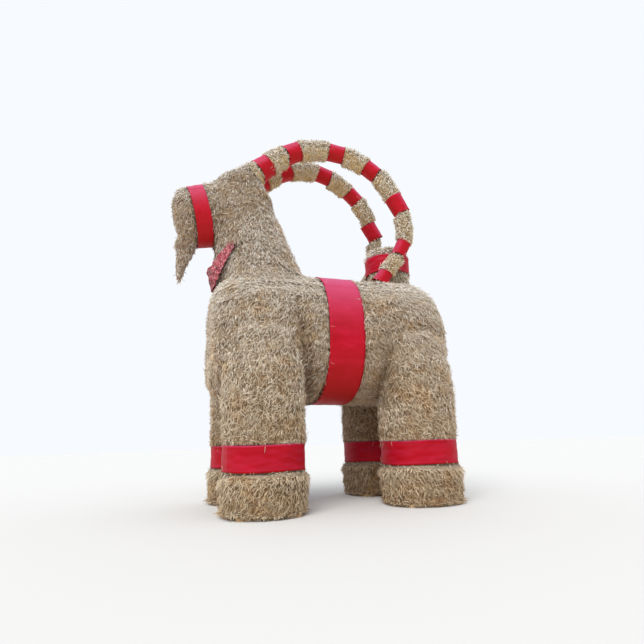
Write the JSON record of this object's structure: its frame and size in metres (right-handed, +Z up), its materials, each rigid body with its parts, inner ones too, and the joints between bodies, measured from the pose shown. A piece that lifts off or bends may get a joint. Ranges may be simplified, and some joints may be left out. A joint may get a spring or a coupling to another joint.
{
  "type": "giant straw yule goat",
  "caption": "Walk-around-size straw goat on a timber skeleton, with red cloth bands, swept-back horns, a hanging beard and a neck scarf.",
  "frame": {"origin": "on the ground under the middle of the goat's overall length and width", "axes": "+Z up; the goat looks towards -X; its left flank faces -Y"},
  "size_m": [9.3153, 5.7706, 12.9252],
  "materials": {
    "straw": "matt loose straw",
    "red_cloth": "satin woven cloth",
    "woven_scarf": "matt patterned weave",
    "pine": "rough sawn",
    "galvanised_steel": "dull zinc"
  },
  "bodies": {
    "goat": {"beard_hanger": "galvanised_steel", "beard_pin": "galvanised_steel", "belly_beam_left": "pine", "belly_beam_right": "pine", "chest_straw": "straw", "foot_pad_front_left": "pine", "foot_pad_front_right": "pine", "foot_pad_rear_left": "pine", "foot_pad_rear_right": "pine", "girth_band": "red_cloth", "head_frame": "pine", "head_straw": "straw", "horn_band_left_1": "red_cloth", "horn_band_left_2": "red_cloth", "horn_band_left_3": "red_cloth", "horn_band_left_4": "red_cloth", "horn_band_left_5": "red_cloth", "horn_band_left_6": "red_cloth", "horn_band_left_7": "red_cloth", "horn_band_right_1": "red_cloth", "horn_band_right_2": "red_cloth", "horn_band_right_3": "red_cloth", "horn_band_right_4": "red_cloth", "horn_band_right_5": "red_cloth", "horn_band_right_6": "red_cloth", "horn_band_right_7": "red_cloth", "horn_socket_left": "galvanised_steel", "horn_socket_right": "galvanised_steel", "horn_straw_left": "straw", "horn_straw_right": "straw", "horn_tube_left": "galvanised_steel", "horn_tube_right": "galvanised_steel", "leg_band_front_left": "red_cloth", "leg_band_front_right": "red_cloth", "leg_band_rear_left": "red_cloth", "leg_band_rear_right": "red_cloth", "leg_frame_front_left": "pine", "leg_frame_front_right": "pine", "leg_frame_rear_left": "pine", "leg_frame_rear_right": "pine", "leg_straw_front_left": "straw", "leg_straw_front_right": "straw", "leg_straw_rear_left": "straw", "leg_straw_rear_right": "straw", "muzzle_band": "red_cloth", "neck_frame": "pine", "neck_straw": "straw", "rump_straw": "straw", "scarf_pin_left": "galvanised_steel", "scarf_pin_right": "galvanised_steel", "spine_beam": "pine", "tail_band": "red_cloth", "tail_post": "pine", "tail_straw": "straw", "torso_ring_1": "pine", "torso_ring_2": "pine", "torso_ring_3": "pine", "torso_ring_4": "pine"},
    "beard": {"beard_straw": "straw"},
    "scarf": {"neck_scarf": "woven_scarf"}
  },
  "joints": [
    {"name": "beard_sway", "type": "hinge", "parent": "goat", "child": "beard", "pos_m": [-4.2123, 0, 8.55], "axis": [0, 1, 0], "range_deg": [-6, 6], "stiffness_Nm_per_rad": 40},
    {"name": "scarf_swing", "type": "hinge", "parent": "goat", "child": "scarf", "pos_m": [-2.6757, 0, 8.2919], "axis": [0, 1, 0], "range_deg": [0, 10]}
  ]
}
